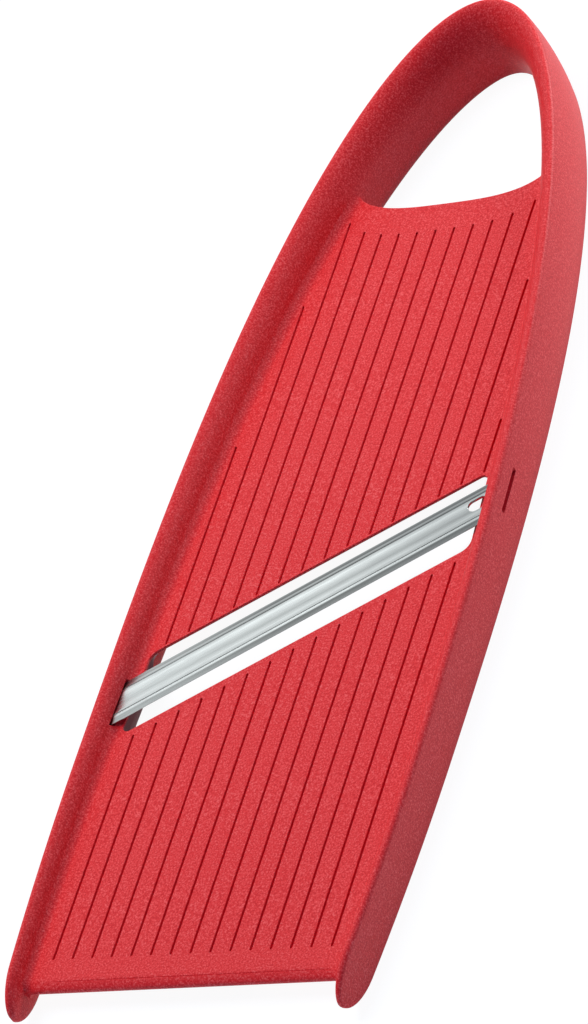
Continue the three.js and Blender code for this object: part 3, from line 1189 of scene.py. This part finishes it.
@dataclass
class Slicer:
    """The whole object: its moulded body and its blade."""

    plan: Outline = field(default_factory=Outline)
    smooth_angle: float = math.radians(32)
    weld: float = 0.002
    sliver: float = 0.001

    def __post_init__(self) -> None:
        """Works out the parts that share the outline."""
        self.rails = Rails(self.plan)
        self.bed = Bed(self.plan)
        self.gap = Gap(self.plan, self.bed)
        self.grooves = Grooves(self.plan, self.bed, self.gap)
        self.strip = BladeStrip(self.plan)
        self.placing = Matrix.Identity(4)

    def shape_body(self) -> bpy.types.Object:
        """Joins and cuts the moulding, still in the frame of the bed.

        Returns:
            The moulding.
        """
        bed = self.bed.build()
        combine(bed, self.bed.opening_cutter(), Merge.CUT)
        combine(bed, self.gap.cutter(), Merge.CUT)
        body = self.rails.build()
        combine(body, bed, Merge.JOIN)
        combine(body, self.strip.seat_cutter(), Merge.CUT)
        combine(body, self.grooves.cutter(), Merge.CUT)
        combine(body, self.bed.crease_cutter(), Merge.CUT)
        body.name = "moulded_body"
        return body

    def find_placing(self, body: bpy.types.Object) -> None:
        """Works out the move that stands the body on its feet, over the middle of its plan.

        Args:
            body: the moulding in the frame of the bed.
        """
        turn = Matrix.Rotation(self.plan.tilt(), 4, "X") @ Matrix.Scale(MM, 4)
        turned = [turn @ vertex.co for vertex in body.data.vertices]
        ys = [point.y for point in turned]
        low = min(point.z for point in turned)
        self.placing = Matrix.Translation((0, -(min(ys) + max(ys)) / 2, -low)) @ turn

    def finish(self, piece: bpy.types.Object, material: bpy.types.Material) -> None:
        """Places a piece, smooths its shading and gives it its material.

        Args:
            piece: the piece, in the frame of the bed.
            material: its finish.
        """
        mesh = bmesh.new()
        mesh.from_mesh(piece.data)
        bmesh.ops.remove_doubles(mesh, verts=mesh.verts, dist=self.weld)
        bmesh.ops.dissolve_degenerate(mesh, edges=mesh.edges, dist=self.sliver)
        bmesh.ops.transform(mesh, matrix=self.placing, verts=mesh.verts)
        mesh.to_mesh(piece.data)
        mesh.free()
        piece.data.shade_smooth()
        piece.data.set_sharp_from_angle(angle=self.smooth_angle)
        weighted = piece.modifiers.new("even_normals", "WEIGHTED_NORMAL")
        weighted.keep_sharp = True
        weighted.weight = 80
        piece.data.materials.clear()
        piece.data.materials.append(material)

    def build(self) -> list[bpy.types.Object]:
        """Builds, dresses and seats both pieces.

        Returns:
            The body and the blade.
        """
        body = self.shape_body()
        self.find_placing(body)
        centre = self.placing @ Vector((0, self.gap.slant.centre_y, 0))
        self.finish(body, MouldedRed(self.gap.slant.angle, centre).material())
        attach(body, "body")
        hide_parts("slicer_body")
        left, right = self.strip.ends()
        blade = to_object("rolled_blade", self.strip.bar(self.strip.profile(), left, right))
        combine(blade, self.strip.hole_cutter(), Merge.CUT)
        centre = self.placing @ Vector((0, self.strip.slant.centre_y, self.strip.lift))
        self.finish(blade, RolledSteel(self.strip.slant.angle, centre).material())
        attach(blade, "blade")
        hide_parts("blade")
        return [body, blade]


@dataclass(frozen=True)
class PhotoCamera:
    """The camera at the photograph's viewing angle."""

    target: Point = (-0.01311, -0.00917, 0.01186)
    distance: float = 1.41910
    azimuth: float = math.radians(41.623)
    elevation: float = math.radians(39.148)
    roll: float = math.radians(-34.886)
    lens: float = 190.62
    sensor: float = 36.0

    def build(self) -> bpy.types.Object:
        """Adds the camera and makes it the scene's own.

        Returns:
            The camera.
        """
        data = bpy.data.cameras.new("photo_camera")
        data.lens = self.lens
        data.sensor_width = self.sensor
        camera = bpy.data.objects.new("photo_camera", data)
        bpy.context.scene.collection.objects.link(camera)
        level = Matrix.Rotation(self.azimuth, 4, "Z") @ Matrix.Rotation(QUARTER - self.elevation, 4, "X")
        back = Matrix.Translation((0, 0, self.distance))
        roll = Matrix.Rotation(self.roll, 4, "Z")
        camera.matrix_world = Matrix.Translation(self.target) @ level @ back @ roll
        bpy.context.scene.camera = camera
        return camera


@dataclass(frozen=True)
class SoftBox:
    """One soft lamp and the point that it is aimed at."""

    name: str
    place: Point
    size: float
    radiance: float
    colour: Colour = (1.0, 1.0, 1.0)
    aim: Point = (0.0, 0.0, 0.0)
    spread: float = math.pi
    mirrored: bool = True

    def build(self) -> bpy.types.Object:
        """Adds the lamp.

        Returns:
            The lamp.
        """
        data = bpy.data.lights.new(self.name, "AREA")
        data.shape = "SQUARE"
        data.size = self.size
        data.spread = self.spread
        data.energy = self.radiance * math.pi * self.size**2
        data.color = self.colour
        lamp = bpy.data.objects.new(self.name, data)
        bpy.context.scene.collection.objects.link(lamp)
        lamp.location = self.place
        lamp.visible_glossy = self.mirrored
        back = Vector(self.place) - Vector(self.aim)
        lamp.rotation_euler = back.to_track_quat("Z", "Y").to_euler()
        return lamp


@dataclass(frozen=True)
class Studio:
    """Pale floor, soft surroundings and the lamps."""

    floor_size: float = 6.0
    sky: Colour = (0.40, 0.95, 2.05)
    sky_strength: float = 0.15
    mirrored_sky: float = 0.17

    def floor(self) -> bpy.types.Object:
        """Adds the floor under the rails' feet.

        Returns:
            The floor.
        """
        mesh = bmesh.new()
        bmesh.ops.create_grid(mesh, x_segments=1, y_segments=1, size=self.floor_size / 2)
        made = to_object("studio_floor", mesh)
        made.data.materials.append(PaleFloor().material())
        return made

    def world(self) -> None:
        """Lights the surroundings: blue light, grey in reflections and white to the camera."""
        world = bpy.data.worlds.new("studio_world")
        world.use_nodes = True
        bench = NodeBench(world.node_tree)
        sky = bench.node("ShaderNodeBackground", {}, {"Color": (*self.sky, 1), "Strength": self.sky_strength})
        grey = bench.node("ShaderNodeBackground", {}, {"Color": (1, 1, 1, 1), "Strength": self.mirrored_sky})
        path = bench.node("ShaderNodeLightPath")
        mixed = bench.node("ShaderNodeMixShader", {}, {
            "Fac": bench.value(path, "Is Glossy Ray"),
            1: sky.outputs["Background"],
            2: grey.outputs["Background"],
        })
        white = bench.node("ShaderNodeBackground", {}, {"Color": (1, 1, 1, 1), "Strength": 1.0})
        shown = bench.node("ShaderNodeMixShader", {}, {
            "Fac": bench.value(path, "Is Camera Ray"),
            1: mixed.outputs["Shader"],
            2: white.outputs["Background"],
        })
        bench.node("ShaderNodeOutputWorld", {}, {"Surface": shown.outputs["Shader"]})
        bpy.context.scene.world = world

    def build(self) -> None:
        """Adds everything and sets the plain view transform."""
        bpy.context.scene.view_settings.view_transform = "Standard"
        self.floor()
        self.world()
        SoftBox("back_box", (-1.12, 1.28, 1.39), 2.2, 0.93, (0.98, 1.0, 0.99)).build()
        SoftBox("key_box", (-0.80, 0.21, 2.04), 1.2, 7.2, mirrored=False).build()
        handle = (0.04, 0.13, 0.012)
        beam = math.radians(40)
        SoftBox("side_box", (0.25, 0.57, 0.16), 0.22, 0.98, aim=handle, spread=beam).build()


def main() -> None:
    """Builds the scene."""
    logging.basicConfig(level=logging.INFO, format="%(name)s: %(message)s")
    PhotoCamera().build()
    Studio().build()
    for piece in Slicer().build():
        LOG.info("%s: %d vertices, %d faces", piece.name, len(piece.data.vertices), len(piece.data.polygons))


if __name__ == "__main__":
    main()
